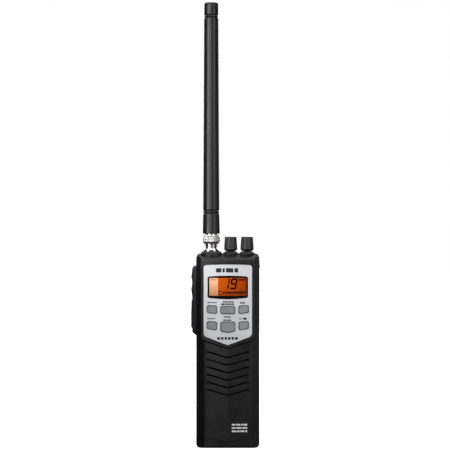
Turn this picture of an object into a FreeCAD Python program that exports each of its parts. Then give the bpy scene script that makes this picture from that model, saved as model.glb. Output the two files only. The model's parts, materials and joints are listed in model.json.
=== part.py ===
import FreeCAD, Part
import math
import os

# Handheld 40-channel two-way radio with a removable whip antenna.
# Millimetres. +Z is up, -Y is the front, +X is the user's right when facing the front.
# The origin is on the flat underside of the case, below the middle of its width.
# Heights in the drawing below are taken from a level FOOT above that underside.

V = FreeCAD.Vector
X, Y, Z = V(1, 0, 0), V(0, 1, 0), V(0, 0, 1)

# ---- driving dimensions: case -------------------------------------------------------
FOOT = 1.3
BODY_HALF_W = 27.15
BODY_TOP = 164.7
FRONT_CORNER_R, REAR_CORNER_R = 5.0, 3.2     # top corners, seen from the front
REAR_Y = 20.5
PARTING_Y = 2.2              # plane where the front and rear case halves meet
WALL = 2.0
CORE_FRONT_Y = -18.0         # flat front of the case behind the raised parts
CHAMFER_SIDE_Y = -12.6       # where the front bevel meets the side
CHAMFER_FRONT_X = 20.2       # where the front bevel meets the flat front
FRONT_TOP_Z = 161.0          # top edge of the front; the top rises behind it
CROWN_Y = -9.5
SHIELD_FRONT_Y = -20.7
SHIELD_HALF_W = 23.6
PANEL_HALF_W, PANEL_RIDGE_Y, PANEL_EDGE_Y = 19.4, -20.0, -18.8
GAP = 0.15                   # assembly gap between separate mouldings

# ---- driving dimensions: face -------------------------------------------------------
PLATE_HALF_W = 20.8
PLATE_FRONT_Y = -20.15
PLATE_T = 1.0
POCKET_Y = -17.4             # inner face of the wall behind the face plate
KEY_PROUD_Y = -20.95
KEY_GAP = 0.4
PLATE_GAP = 0.7              # open groove round the face plate
LCD_HALF_W, LCD_Z0, LCD_Z1 = 15.8, 129.1, 144.3

# ---- driving dimensions: top --------------------------------------------------------
TOP_ROW_Y = -7.5             # depth of the antenna and knob axes
FLANGE_TOP_Z = 159.6         # top of the antenna socket's flange, under the case
CONTROL_TOP_Z = 158.6        # top of the control bodies, under the case
ANTENNA_X = -14.25
SQUELCH_X, VOLUME_X = 2.5, 16.6
KNOB_Z0, KNOB_Z1 = 167.15, 179.4
RING_Z = 175.2               # underside of the antenna's coupling ring
SLEEVE_Z0, SLEEVE_Z1, ANTENNA_TOP = 182.0, 367.3, 381.0
LUG_Z, LUG_TIP_R, BARREL_R = 177.1, 5.45, 4.8
BAYONET_LIFT, BAYONET_DEG = 4.6, 90.0    # rise of the ring for a quarter turn

# ---- driving dimensions: sides ------------------------------------------------------
SIDE_Y = -5.2                # middle of the push-to-talk group on the left
SIDE_Z0, SIDE_Z1 = 94.6, 154.6
SIDE_SKIN_X = -30.65
SIDE_SPANS = {"up": (140.6, 150.2), "down": (128.4, 139.4), "talk": (100.9, 124.9)}
LEVER_X, LEVER_PIVOT_X, LEVER_PIVOT_Z = -31.4, -28.5, 123.3
JACK_Y = -7.0
JACK_ZS = {"power": (104.5, 118.5), "audio": (132.0, 145.0)}
JACK_FACE_X = BODY_HALF_W - 2.0
PLUG_R = {"power": 2.3, "audio": 1.4}
FLAP_Z0, FLAP_Z1 = 95.75, 160.0
FLAP_T = 1.3

# ---- driving dimensions: battery ----------------------------------------------------
CELL_R, CELL_L, CELL_GAP = 7.1, 50.5, 0.1
CELL_XS = (-14.6, 0.0, 14.6)
CELL_Y = 11.1
BAY_HALF_W, BAY_Y0, BAY_Z0, BAY_Z1 = 22.4, 3.6, 2.4, 159.5
COVER_Y0, COVER_Z1 = 18.65, 153.6
SCREW_SPOTS = ((-7.3, 11.0), (7.3, 11.0), (-7.3, 86.0), (7.3, 86.0))

# ---- driving dimensions: belt clip --------------------------------------------------
CLIP_PIN_Y, CLIP_PIN_Z = 24.7, 158.8
CLIP_SCREW_XS, CLIP_SCREW_Z = (-8.5, 8.5), 160.9

# ---- helpers ------------------------------------------------------------------------
PLACES = {
    "XZ": (lambda u, v, w: V(u, w, v), Y),
    "XY": (lambda u, v, w: V(u, v, w), Z),
    "YZ": (lambda u, v, w: V(w, u, v), X),
}


def box(x0, x1, y0, y1, z0, z1):
    return Part.makeBox(x1 - x0, y1 - y0, z1 - z0, V(x0, y0, z0))


def rod(x, y, z, radius, length, axis=Z):
    return Part.makeCylinder(radius, length, V(x, y, z), axis)


def cone(x, y, z, r0, r1, length, axis=Z):
    return Part.makeCone(r0, r1, length, V(x, y, z), axis)


def path(points, radii, closed):
    """Straight runs through points, each inner corner rounded by its own radius."""
    count = len(points)
    corners = range(count) if closed else range(1, count - 1)
    enter, leave = list(points), list(points)
    arcs = {}
    for i in corners:
        back = (points[i - 1] - points[i]).normalize()
        ahead = (points[(i + 1) % count] - points[i]).normalize()
        half = back.getAngle(ahead) / 2
        if radii[i] <= 0 or half > math.pi / 2 - 1e-4:
            continue
        reach = radii[i] / math.tan(half)
        bisector = (back + ahead).normalize()
        enter[i] = points[i] + back * reach
        leave[i] = points[i] + ahead * reach
        middle = points[i] + bisector * (radii[i] / math.sin(half) - radii[i])
        arcs[i] = Part.Arc(enter[i], middle, leave[i]).toShape()
    edges = []
    for i in range(count):
        if i in arcs:
            edges.append(arcs[i])
        j = (i + 1) % count
        if (closed or j) and (leave[i] - enter[j]).Length > 1e-6:
            edges.append(Part.makeLine(leave[i], enter[j]))
    return Part.Wire(edges)


def slab(corners, plane, low, high):
    """A closed outline of (u, v, corner radius), extruded square to its plane."""
    place, normal = PLACES[plane]
    wire = path([place(u, v, low) for u, v, _ in corners], [r for _, _, r in corners], True)
    return Part.Face(wire).extrude(normal * (high - low))


def mirrored(corners):
    """The right half of a symmetric outline, top to bottom, completed on the left."""
    left = [(-u, v, r) for u, v, r in reversed(corners) if u > 1e-9]
    return list(corners) + left


def fuse(shapes):
    shapes = list(shapes)
    return shapes[0].multiFuse(shapes[1:]).removeSplitter() if len(shapes) > 1 else shapes[0]


def cut(shape, tools):
    return shape.cut(list(tools))


def edges_at(shape, test):
    return [e for e in shape.Edges if all(test(v.Point) for v in e.Vertexes)]


def at_y(level):
    return lambda p: abs(p.y - level) < 1e-4


def softened(shape, radius, test):
    return shape.makeFillet(radius, edges_at(shape, test))


def revolved(profile, x, y):
    """Turns a closed outline of (radius, height, corner radius) about a vertical axis."""
    points = [V(x + r, y, h) for r, h, _ in profile]
    face = Part.Face(path(points, [c for _, _, c in profile], True))
    return face.revolve(V(x, y, 0), Z, 360)


def tube(points, radius, bends):
    """A round bar or lead along straight runs joined by tangent arcs, one radius per corner."""
    points = [V(*p) for p in points]
    spine = path(points, [0] + list(bends) + [0], False)
    circle = Part.Wire(Part.makeCircle(radius, points[0], points[1] - points[0]))
    return spine.makePipeShell([circle], True, True)


def coil(x, y, z, radius, wire, height, turns, axis=Z):
    """A round-wire helical spring, its axis starting at (x, y, z)."""
    helix = Part.makeHelix(height / turns, height, radius)
    circle = Part.Wire(Part.makeCircle(wire, V(radius, 0, 0), V(0, 1, 0)))
    spring = Part.Wire(helix.Edges).makePipeShell([circle], True, True)
    spring.Placement = FreeCAD.Placement(V(x, y, z), FreeCAD.Rotation(Z, axis))
    return spring


def pan_screw(x, y, z, axis, head_r, head_h, shank_r, length):
    """A slotted pan-head screw whose head sits on the plane through (x, y, z)."""
    head = rod(x, y, z, head_r, head_h, axis)
    shank = Part.makeCylinder(shank_r, length, V(x, y, z), axis * -1)
    across = Z if abs(axis.z) < 0.5 else X
    side = axis.cross(across)
    slot = Part.makeBox(0.5, 3 * head_r, head_h)
    turn = FreeCAD.Rotation(side, across, axis, "ZXY")
    slot.Placement = FreeCAD.Placement(
        V(x, y, z) + axis * (head_h * 0.5) - side * 0.25 - across * (1.5 * head_r), turn)
    return fuse([head.cut(slot), shank])


# ---- outlines -----------------------------------------------------------------------
def plate_outline(grow=0.0):
    """Silver face plate: arched top, straight sides, shallow V foot."""
    return mirrored([
        (0, 156.2 + grow, 380),
        (PLATE_HALF_W + grow, 155.3 + grow, 2.4 + grow),
        (PLATE_HALF_W + grow, 94.6 - grow * 0.3, 4.5 + grow),
        (0, 86.8 - grow, 4.0 + grow),
    ])


def window_outline(shrink=0.0):
    half = 17.3 - shrink
    return mirrored([
        (0, 146.8 - shrink, 190),
        (half, 145.5 - shrink, 1.6),
        (half, 127.4 + shrink, 1.6),
        (0, 125.4 + shrink, 110),
    ])


def key_outlines():
    """The six keys by name: two rows of three that follow the plate's V."""
    top_side = [(9.4, 120.5), (17.7, 121.0), (17.7, 114.9), (9.4, 113.7)]
    low_side = [(9.4, 106.8), (17.7, 107.3), (17.7, 101.1), (9.4, 99.8)]
    top_middle = [(-6.05, 120.2), (6.05, 120.2), (6.05, 113.7), (-6.05, 113.7)]
    low_middle = [(-6.05, 106.8), (6.05, 106.8), (6.05, 99.0), (0, 97.8), (-6.05, 99.0)]
    flip = lambda points: [(-u, v) for u, v in reversed(points)]
    return {
        "key_program": flip(top_side),
        "key_band": top_middle,
        "key_noise": top_side,
        "key_scan": flip(low_side),
        "key_dual": low_middle,
        "key_lock": low_side,
    }


def grown(points, by):
    """A key outline moved outward by a small clearance, with its corner radii."""
    cx = sum(p[0] for p in points) / len(points)
    cz = sum(p[1] for p in points) / len(points)

    def grow(value, middle):
        return value if abs(value - middle) < 1e-6 else value + math.copysign(by, value - middle)

    return [(grow(u, cx), grow(v, cz), 1.4 + by) for u, v in points]


def core(inset, corner_r):
    """The case's outer form, or the same form set in by a wall thickness."""
    slope = math.atan2(BODY_HALF_W - CHAMFER_FRONT_X, CHAMFER_SIDE_Y - CORE_FRONT_Y)
    side_shift = inset * math.tan(slope / 2)
    front_shift = inset * math.tan((math.pi / 2 - slope) / 2)
    half = BODY_HALF_W - inset
    section = [
        (-half, REAR_Y - inset, 4 - inset),
        (-half, CHAMFER_SIDE_Y + side_shift, 1.2),
        (-CHAMFER_FRONT_X + front_shift, CORE_FRONT_Y + inset, 0.8),
        (CHAMFER_FRONT_X - front_shift, CORE_FRONT_Y + inset, 0.8),
        (half, CHAMFER_SIDE_Y + side_shift, 1.2),
        (half, REAR_Y - inset, 4 - inset),
    ]
    front_view = [
        (-half, inset - FOOT, 3.4 - inset),
        (half, inset - FOOT, 3.4 - inset),
        (half, BODY_TOP - inset, corner_r - inset),
        (-half, BODY_TOP - inset, corner_r - inset),
    ]
    return (
        slab(section, "XY", -5, BODY_TOP + 5)
        .common(slab(front_view, "XZ", -40, 40))
        .common(slab(side_profile(CORE_FRONT_Y, inset), "YZ", -40, 40))
    )


def side_profile(front_y, inset):
    """Side view of the case: flat foot, and a top that falls away towards the front."""
    front, rear = front_y + inset, REAR_Y - inset
    return [
        (front, inset - FOOT, max(1.6 - inset, 0)),
        (rear, inset - FOOT, max(1.6 - inset, 0)),
        (rear, BODY_TOP - inset, max(3 - inset, 0.5)),
        (CROWN_Y, BODY_TOP - inset, 14),
        (front, FRONT_TOP_Z - inset, 2.6),
    ]


# ---- case ---------------------------------------------------------------------------
def top_collars():
    """Conical bosses on the top: one under the antenna, one round each knob shaft."""
    boss = [(0, 158.0, 0), (9.6, 158.0, 0), (9.9, 164.6, 0.5),
            (9.2, 165.8, 0.8), (8.1, 166.9, 0.4), (0, 166.9, 0)]
    collar = [(0, 158.0, 0), (5.8, 158.0, 0), (7.0, 164.6, 0.3),
              (6.7, 165.4, 0.8), (5.0, 166.9, 0.3), (0, 166.9, 0)]
    collars = [revolved(collar, x, TOP_ROW_Y) for x in (SQUELCH_X, VOLUME_X)]
    return [revolved(boss, ANTENNA_X, TOP_ROW_Y)] + collars


def grille_slots():
    """Six open chevron louvres that slope up and back, with square ends."""
    half, drop, height, pitch, first = 18.0, 4.9, 1.4, 6.46, 81.3
    for i in range(6):
        z = first - i * pitch
        outline = [(-half, z), (-half, z - height), (0, z - height - drop), (half, z - height), (half, z),
                   (0, z - drop)]
        wire = path([V(u, -21, v) for u, v in outline], [0, 0, 5, 0, 0, 5], True)
        yield Part.Face(wire).extrude(V(0, 5.4, 1.9))
        for side in (-1, 1):
            x = side * (half - 0.7)
            yield box(x - 0.7, x + 0.7, -21, -15.5, z - height, z + 0.1)


def front_case():
    shield = slab(mirrored([(SHIELD_HALF_W, 172, 0), (SHIELD_HALF_W, 91.2, 6), (0, 83.3, 6)]),
                  "XZ", SHIELD_FRONT_Y, -12)
    shield = softened(shield, 1.3, lambda p: at_y(SHIELD_FRONT_Y)(p) and p.z < 171.9 or
                      abs(p.z - 172) < 1e-4 and at_y(SHIELD_FRONT_Y)(p) and abs(p.x) > 30)
    shield = shield.common(slab(side_profile(SHIELD_FRONT_Y, 0), "YZ", -40, 40))
    front_round = slab([(-SHIELD_HALF_W, 60, 0), (SHIELD_HALF_W, 60, 0), (SHIELD_HALF_W, 162.6, 3.4),
                        (-SHIELD_HALF_W, 162.6, 3.4)], "XZ", -40, 0)
    panel = slab([(-PANEL_HALF_W, -16.5, 0), (-PANEL_HALF_W, PANEL_EDGE_Y, 0.5), (0, PANEL_RIDGE_Y, 12),
                  (PANEL_HALF_W, PANEL_EDGE_Y, 0.5), (PANEL_HALF_W, -16.5, 0)], "XY", 0, 95)
    panel_face = slab([(-PANEL_HALF_W, 95, 0), (-PANEL_HALF_W, 8.8, 3.5), (0, 3.9, 7),
                       (PANEL_HALF_W, 8.8, 3.5), (PANEL_HALF_W, 95, 0)], "XZ", -25, 0)
    body = core(0, FRONT_CORNER_R)
    outer = fuse([body, shield.common(front_round), panel.common(panel_face)] + top_collars())
    outer = outer.common(box(-40, 40, -40, PARTING_Y, -5, 172))
    hollow = core(WALL, FRONT_CORNER_R).common(box(-40, 40, -40, PARTING_Y + 1, -5, 172))
    hollow = hollow.cut(box(23.2, 30, -13.4, -0.6, 93.4, 161))
    bosses = [rod(x, -17.2, z, 3.0, 17.2 + PARTING_Y, Y) for x, z in SCREW_SPOTS]
    pads = [rod(ANTENNA_X, TOP_ROW_Y, FLANGE_TOP_Z, 7.4, 6)]
    for x in (SQUELCH_X, VOLUME_X):
        pads.append(box(x - 5.2, x + 5.2, TOP_ROW_Y - 4.8, TOP_ROW_Y + 4.8, CONTROL_TOP_Z, 164))
    under_skin = core(0.6, FRONT_CORNER_R)
    shell = fuse([cut(outer, [hollow])] + bosses + [pad.common(under_skin) for pad in pads])
    openings = [
        # display pocket, face plate recess and display window
        box(-20.6, 20.6, POCKET_Y, -15.5, 96, 149),
        slab(plate_outline(PLATE_GAP), "XZ", -25, PLATE_FRONT_Y + PLATE_T),
        slab([(-LCD_HALF_W, LCD_Z0, 0.6), (LCD_HALF_W, LCD_Z0, 0.6), (LCD_HALF_W, LCD_Z1, 0.6),
              (-LCD_HALF_W, LCD_Z1, 0.6)], "XZ", -25, -15),
        # holes for the antenna socket and the two controls
        rod(ANTENNA_X, TOP_ROW_Y, 158, 4.85, 12),
        rod(SQUELCH_X, TOP_ROW_Y, 158, 3.5, 12),
        rod(VOLUME_X, TOP_ROW_Y, 158, 3.5, 12),
        # window behind the push-to-talk group, and the recess under the jack cover
        box(-30, -23, SIDE_Y - 5.5, SIDE_Y + 5.7, 98.2, 151.6),
        box(BODY_HALF_W - 1.6, 30, -12.5, -1.5, 94.6, FLAP_Z1 + 0.2),
        # microphone hole, low on the left of the grille
        slab([(-17.1, 43.1, 0.3), (-13.2, 43.1, 0.3), (-13.2, 44.1, 0.3), (-17.1, 44.1, 0.3)],
             "XZ", -25, -15),
    ]
    openings += [slab(grown(p, KEY_GAP), "XZ", -25, -15) for p in key_outlines().values()]
    openings += [rod(20, JACK_Y, z, 3.3, 8, X) for zs in JACK_ZS.values() for z in zs]
    openings += [rod(x, -12, z, 1.0, 20, Y) for x, z in SCREW_SPOTS]
    openings += list(grille_slots())
    return cut(shell, openings)


def rear_case():
    """Tub behind the electronics: battery bay, cover rails, latch pocket, top ledge."""
    tub = core(0, REAR_CORNER_R).common(box(-40, 40, PARTING_Y, 40, -5, 172))
    cavities = [
        box(-BAY_HALF_W, BAY_HALF_W, BAY_Y0, 18.5, BAY_Z0, BAY_Z1),
        box(-40, 40, 18.5, 40, -5, COVER_Z1 + 0.25),
        box(23.0, 30, 8.2, 13.8, 33.8, 39.4),
        box(24.0, 26.0, 13.8, 15.3, 34.8, 38.4),
    ]
    for side in (-1, 1):
        middle = side * 24.5
        cavities.append(box(middle - 0.6, middle + 0.6, 16, 19, -5, 152))
        cavities.append(box(middle - 1.2, middle + 1.2, 15.2, 16.8, -5, 152))
    cavities += [rod(x, 0, z, 1.35, 6, Y) for x, z in SCREW_SPOTS]
    cavities += [rod(x, 16, CLIP_SCREW_Z, 0.9, 6, Y) for x in CLIP_SCREW_XS]
    cavities.append(rod(19.5, 0, 8.0, 1.5, 6, Y))
    return cut(tub, cavities)


def battery_cover():
    """Back panel that slides down and off on two T-shaped rails."""
    panel = core(0, REAR_CORNER_R).common(box(-40, 40, COVER_Y0, 40, 0.25 - FOOT, COVER_Z1))
    parts = [panel]
    for side in (-1, 1):
        middle = side * 24.5
        parts.append(box(middle - 0.4, middle + 0.4, 16, COVER_Y0 + 0.2, 3, 149))
        parts.append(box(middle - 1.0, middle + 1.0, 15.4, 16.6, 3, 149))
    parts += [box(-18, 18, 18.55, COVER_Y0 + 0.2, z, z + 1.2) for z in (31, 82, 133)]
    cover = fuse(parts)
    grips = [box(-9, 9, REAR_Y - 0.7, 30, z, z + 1.2) for z in (16, 19, 22, 25, 28)]
    return cut(cover, grips)


def battery_latch():
    """Side push button that frees the cover, with its tooth beside the right rail."""
    button = box(24.7, BODY_HALF_W + 0.35, 8.45, 13.55, 34.05, 39.15)
    button = softened(button, 0.4, lambda p: abs(p.x - BODY_HALF_W - 0.35) < 1e-4)
    ribs = [box(BODY_HALF_W + 0.1, 30, 8, 14, z, z + 0.5) for z in (35.4, 36.4, 37.4)]
    return fuse([cut(button, ribs), box(25.0, 25.75, 13.4, 15.25, 35.1, 38.1)])


def latch_spring():
    return coil(23.0, 11.0, 36.6, 1.5, 0.2, 1.7, 3, X).common(box(23.0, 24.7, 0, 20, 30, 45))


# ---- face ---------------------------------------------------------------------------
def face_plate():
    plate = slab(plate_outline(), "XZ", PLATE_FRONT_Y, PLATE_FRONT_Y + PLATE_T - 0.02)
    plate = softened(plate, 0.35, at_y(PLATE_FRONT_Y))
    holes = [slab(grown(p, KEY_GAP), "XZ", -25, -15) for p in key_outlines().values()]
    return cut(plate, holes + [slab(window_outline(), "XZ", -25, -15)])


def display_lens():
    """Clear window, crowned across its width, sitting in the plate's opening."""
    blank = slab(window_outline(0.12), "XZ", -22, PLATE_FRONT_Y + PLATE_T - 0.02)
    radius = 190.0
    front = PLATE_FRONT_Y - 0.25
    crown = Part.makeCylinder(radius, 60, V(0, front + radius, 100), Z)
    return blank.common(crown)


def lcd_glass():
    return box(-18.6, 18.6, POCKET_Y + 0.1, POCKET_Y + 2.2, 126.2, 147.4)


def lcd_backlight():
    light = box(-18.2, 18.2, POCKET_Y + 2.25, POCKET_Y + 4.3, 127, 146.6)
    return fuse([light, box(-2, 2, POCKET_Y + 2.25, POCKET_Y + 4.3, 124.8, 127.2)])


def lcd_frame():
    """Holder that clamps the glass and light guide against the case."""
    y0, y1 = POCKET_Y + 0.1, POCKET_Y + 4.4
    frame = box(-19.9, 19.9, y0, y1, 123.4, 148.6)
    return cut(frame, [box(-18.7, 18.7, y0 - 1, y1 + 1, 126.1, 147.5),
                       box(-2.2, 2.2, y0 - 1, y1 + 1, 124.6, 127)])


def key_cap(points):
    """One key: cap through the plate, retaining flange and post behind it."""
    cap = slab(grown(points, 0), "XZ", KEY_PROUD_Y, POCKET_Y + 0.3)
    cap = softened(cap, 0.45, at_y(KEY_PROUD_Y))
    flange = slab(grown(points, 0.75), "XZ", POCKET_Y + 0.15, POCKET_Y + 1.1)
    cx = sum(p[0] for p in points) / len(points)
    cz = sum(p[1] for p in points) / len(points)
    return fuse([cap, flange, rod(cx, POCKET_Y + 0.6, cz, 2.2, 1.8, Y)])


def keypad_mat():
    """Silicone mat on the control board with a raised pad behind each key."""
    mat = [box(-20, 20, -13.6, -12.6, 95.4, 123.0)]
    for points in key_outlines().values():
        cx = sum(p[0] for p in points) / len(points)
        cz = sum(p[1] for p in points) / len(points)
        mat.append(rod(cx, -13.9, cz, 2.8, 0.8, Y))
    return fuse(mat)


# ---- electronics --------------------------------------------------------------------
def control_board():
    board = box(-20.4, 20.4, -12.55, -11.15, 92.5, 149)
    return cut(board, [rod(x, -13, 94.6, 1.2, 3, Y) for x in (-18, 18)])


def main_board():
    board = box(-21.6, 22.4, -3.4, -1.8, 22, 147.5)
    return cut(board, [rod(x, -5, z, 3.2, 6, Y) for x, z in SCREW_SPOTS if z > 22])


def board_parts():
    """Chips, filters, the crystal and the board-to-board header, as separate solids."""
    parts = []
    for x, z, w, h, t in ((-8, 118, 12, 12, 1.6), (5, 106, 9, 9, 1.4), (4, 128, 7, 10, 1.4),
                          (-12, 102, 6, 8, 1.2), (0, 137, 14, 5, 2.2)):
        parts.append(box(x - w / 2, x + w / 2, -11.15, -11.15 + t, z - h / 2, z + h / 2))
    for x, z, w, h, t in ((-12, 134, 9, 9, 3.0), (2, 128, 7, 7, 3.6), (-13, 116, 8, 5, 3.2),
                          (-16, 70, 8, 14, 2.4), (14, 68, 8, 12, 2.6), (12, 34, 12, 8, 4.5)):
        parts.append(box(x - w / 2, x + w / 2, -3.4 - t, -3.4, z - h / 2, z + h / 2))
    for x, z, r, t in ((0, 98, 3.2, 5.5), (-12, 34, 4.0, 8.0), (0, 30, 3.2, 7.0)):
        parts.append(rod(x, -3.4 - t, z, r, t, Y))
    parts.append(box(-6, 6, -9.5, -3.4, 140.5, 144.5))
    return Part.makeCompound(parts)


def rf_shield():
    """Folded tin can over the transmitter, open towards the board."""
    can = box(-17, 19, -1.8, 1.9, 94, 140)
    return cut(can, [box(-16.6, 18.6, -2, 1.5, 94.4, 139.6)])


def speaker_frame():
    ring = rod(0, -15.5, 62.5, 18.5, 1.2, Y)
    basket = cone(0, -14.3, 62.5, 17.4, 10.4, 4.0, Y)
    hollow = [rod(0, -16, 62.5, 16.2, 1.71, Y), cone(0, -14.3, 62.5, 16.2, 9.4, 4.0, Y),
              rod(0, -11, 62.5, 9.4, 2, Y)]
    return cut(fuse([ring, basket]), hollow)


def speaker_cone():
    """Paper cone with its dust cap, hung inside the frame."""
    outer = cone(0, -15.1, 62.5, 16.0, 5.4, 4.2, Y)
    inner = cone(0, -15.4, 62.5, 16.0, 4.6, 4.2, Y)
    cap = rod(0, -12.4, 62.5, 5.2, 0.6, Y)
    return fuse([outer.cut(inner), cap])


def speaker_magnet():
    return fuse([rod(0, -10.3, 62.5, 10.4, 1.0, Y), rod(0, -9.3, 62.5, 9.0, 3.6, Y),
                 rod(0, -5.7, 62.5, 9.6, 0.8, Y)])


def microphone():
    return fuse([rod(-15.2, -15.9, 43.6, 3.0, 2.7, Y), rod(-15.2, -13.2, 43.6, 2.2, 0.6, Y)])


def audio_jacks():
    """Two 3.5 mm sockets with a round throat and a body soldered to the board."""
    jacks = []
    for z in JACK_ZS["audio"]:
        throat = rod(23.0, JACK_Y, z, 3.1, JACK_FACE_X - 23.0, X)
        body = fuse([box(9.5, 23.1, JACK_Y - 3.2, -3.4, z - 3.4, z + 3.4), throat])
        jacks.append(cut(body, [rod(11, JACK_Y, z, 1.8, 20, X)]))
    return Part.makeCompound(jacks)


def power_jacks():
    """Two coaxial power sockets, one for the supply and one for the charger."""
    jacks = []
    for z in JACK_ZS["power"]:
        throat = rod(23.0, JACK_Y, z, 3.15, JACK_FACE_X - 23.0, X)
        body = fuse([box(11, 23.1, JACK_Y - 3.5, -3.4, z - 4.2, z + 4.2), throat])
        socket = cut(body, [rod(14, JACK_Y, z, 2.85, 20, X)])
        jacks.append(fuse([socket, rod(13.5, JACK_Y, z, 1.0, 10, X)]))
    return Part.makeCompound(jacks)


def side_board():
    return box(-23.4, -22.2, -10.4, 0.2, 98.6, 151.2)


def side_switches():
    """Tact switches behind the two channel buttons and the push-to-talk bar."""
    parts = []
    for z in (145.6, 133.8, 106.0):
        parts.append(fuse([box(-24.9, -23.4, SIDE_Y - 2.25, SIDE_Y + 2.25, z - 2.25, z + 2.25),
                           rod(-25.5, SIDE_Y, z, 1.1, 0.8, X)]))
    return Part.makeCompound(parts)


def wiring():
    """Two speaker wires, and the short coaxial lead from the antenna socket to the board."""
    wires = [tube([(x, -10.6, 74.4), (x, -8.2, 78.0), (x, -5.4, 81.0), (x, -3.4, 81.0)], 0.45, (1.4, 1.2))
             for x in (11.0, 12.6)]
    wires.append(tube([(ANTENNA_X, TOP_ROW_Y, 157.0), (ANTENNA_X, TOP_ROW_Y, 149.0),
                       (ANTENNA_X - 1.0, -6.4, 142.6), (ANTENNA_X - 1.0, -3.4, 142.6)], 0.9, (2.6, 2.0)))
    return Part.makeCompound(wires)


# ---- left side: push-to-talk and channel buttons ------------------------------------
def side_frame():
    """Raised surround that holds the two channel buttons and the push-to-talk bar."""
    face = slab([(SIDE_Y - 6.9, SIDE_Z0, 4), (SIDE_Y + 6.9, SIDE_Z0, 4), (SIDE_Y + 6.9, SIDE_Z1, 4),
                 (SIDE_Y - 6.9, SIDE_Z1, 4)], "YZ", -34, -BODY_HALF_W)
    profile = slab([(-BODY_HALF_W, SIDE_Z0, 0), (SIDE_SKIN_X, SIDE_Z0 + 2.9, 2.2),
                    (SIDE_SKIN_X, SIDE_Z1 - 0.5, 2.9), (-BODY_HALF_W, SIDE_Z1, 0)], "XZ", -20, 10)
    plan = slab([(-BODY_HALF_W, SIDE_Y - 6.9, 0), (SIDE_SKIN_X, SIDE_Y - 5.9, 1.0),
                 (SIDE_SKIN_X, SIDE_Y + 5.9, 1.0), (-BODY_HALF_W, SIDE_Y + 6.9, 0)], "XY", 90, 160)
    shell = face.common(profile).common(plan)
    inside = box(-29.35, -26, SIDE_Y - 5.4, SIDE_Y + 5.4, 98.6, 151.2)
    windows = [box(-34, -26, SIDE_Y - 4.35, SIDE_Y + 4.35, z0 - 0.3, z1 + 0.3)
               for z0, z1 in SIDE_SPANS.values()]
    return cut(shell, [inside] + windows)


def channel_button(span, tip_low, tip_high):
    """Channel button with a gently bulging face and an arrowhead ridge."""
    z0, z1 = SIDE_SPANS[span]
    middle = (z0 + z1) / 2
    bulge = slab([(-26.6, z0, 0), (-30.8, z0, 0.4), (-31.35, middle, 9), (-30.8, z1, 0.4), (-26.6, z1, 0)],
                 "XZ", SIDE_Y - 4.1, SIDE_Y + 4.1)
    flange = box(-29.15, -28.35, SIDE_Y - 5.1, SIDE_Y + 5.1, z0 - 0.45, z1 + 0.45)
    arrow = slab([(SIDE_Y - 2.0, tip_low, 0.2), (SIDE_Y + 2.0, tip_low, 0.2), (SIDE_Y, tip_high, 0.2)],
                 "YZ", -31.5, -30.8)
    return fuse([bulge, flange, arrow])


def ptt_lever():
    """Push-to-talk bar: pivots at its upper end, cross ribs over its lower two thirds."""
    z0, z1 = SIDE_SPANS["talk"]
    bar = slab([(-26.9, z0 + 0.5, 0), (LEVER_X, z0, 0.9), (LEVER_X, z1, 0.7), (-26.9, z1 - 0.4, 0)],
               "XZ", SIDE_Y - 4.1, SIDE_Y + 4.1)
    ribs = []
    for i in range(9):
        z = 103.0 + i * 1.74
        height = 0.8 if i % 3 == 0 else 0.35
        ribs.append(slab([(LEVER_X + 0.2, z - 0.55, 0), (LEVER_X - height, z - 0.2, 0),
                          (LEVER_X - height, z + 0.2, 0), (LEVER_X + 0.2, z + 0.55, 0)],
                         "XZ", SIDE_Y - 3.2, SIDE_Y + 3.2))
    pivot = rod(LEVER_PIVOT_X, SIDE_Y - 5.2, LEVER_PIVOT_Z, 0.6, 10.4, Y)
    return fuse([bar, pivot] + ribs)


def ptt_spring():
    return coil(-23.65, SIDE_Y, 114.5, 1.7, 0.2, 3.0, 4, V(-1, 0, 0))


# ---- right side: jack cover ---------------------------------------------------------
def jack_cover():
    """Rubber strip over the sockets: rolled hinge end below, finger ridge near the top."""
    x0 = BODY_HALF_W + 0.05 - FLAP_T
    middle = x0 + FLAP_T / 2
    x1 = x0 + FLAP_T
    strip = slab([(x0, FLAP_Z0, 0), (x1, FLAP_Z0, 0), (x1, FLAP_Z1, 0.7), (x0, FLAP_Z1, 0)],
                 "XZ", -12.3, -1.7)
    roll = rod(middle, -12.3, FLAP_Z0, FLAP_T / 2, 10.6, Y)
    ridge = slab([(middle, 151.6, 0), (x1 + 0.4, 153.0, 0.5), (x1 + 0.4, 155.0, 0.5), (middle, 156.4, 0)],
                 "XZ", -10.5, -3.5)
    plugs = [rod(JACK_FACE_X - 0.15, JACK_Y, z, PLUG_R[name], 1.3, X)
             for name, zs in JACK_ZS.items() for z in zs]
    return fuse([strip, roll, ridge] + plugs)


# ---- top: knobs, shafts and antenna -------------------------------------------------
def knob(x):
    """Tapered control knob with fine vertical flutes and a blind shaft hole."""
    low_r, top_r, flutes = 5.75, 5.05, 20
    skirt_z = KNOB_Z0 + 1.5
    form = revolved([(0, KNOB_Z0, 0), (4.2, KNOB_Z0, 0), (low_r, skirt_z, 0.4), (top_r, KNOB_Z1, 0.6),
                     (0, KNOB_Z1, 0)], x, TOP_ROW_Y)
    tools = [rod(x, TOP_ROW_Y, KNOB_Z0 - 1, 3.0, 10.75)]
    lean = math.degrees(math.atan2(low_r - top_r, KNOB_Z1 - skirt_z))
    for i in range(flutes):
        groove = Part.makeCylinder(0.42, KNOB_Z1 - skirt_z + 2, V(low_r + 0.2, 0, 0), Z)
        groove.rotate(V(low_r + 0.2, 0, 0), Y, -lean)
        groove.rotate(V(0, 0, 0), Z, (i + 0.5) * 360 / flutes)
        tools.append(groove.translated(V(x, TOP_ROW_Y, skirt_z + 0.4)))
    tools.append(box(x - 0.35, x + 0.35, TOP_ROW_Y - 6, TOP_ROW_Y - 1.6, KNOB_Z1 - 0.35, KNOB_Z1 + 1))
    return cut(form, tools)


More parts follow.
